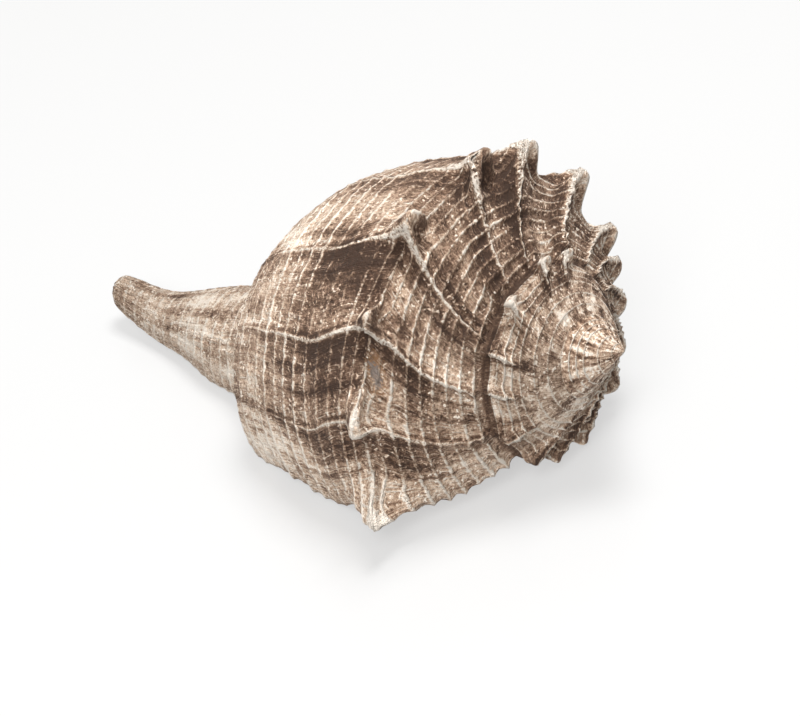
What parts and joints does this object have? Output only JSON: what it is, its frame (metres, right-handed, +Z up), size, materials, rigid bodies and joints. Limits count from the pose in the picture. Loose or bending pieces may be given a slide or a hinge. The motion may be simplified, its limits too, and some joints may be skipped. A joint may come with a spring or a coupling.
{
  "type": "left-handed whelk shell",
  "caption": "Knobbed whelk shell that coils to the left, with a low spire, a swollen last whorl and a long open canal, lying on its aperture.",
  "frame": {"origin": "middle of the bounding box, on the surface that the shell lies on", "axes": "+X towards the apex of the spire, -X towards the end of the canal, +Z up, the aperture faces down"},
  "size_m": [0.1658, 0.0958, 0.0793],
  "materials": {
    "weathered_lime": "weathered shell lime, grey-brown with pale raised cords and worn chalky knobs, satin inside the aperture"
  },
  "bodies": {
    "root": {"shell": "weathered_lime"}
  },
  "joints": []
}
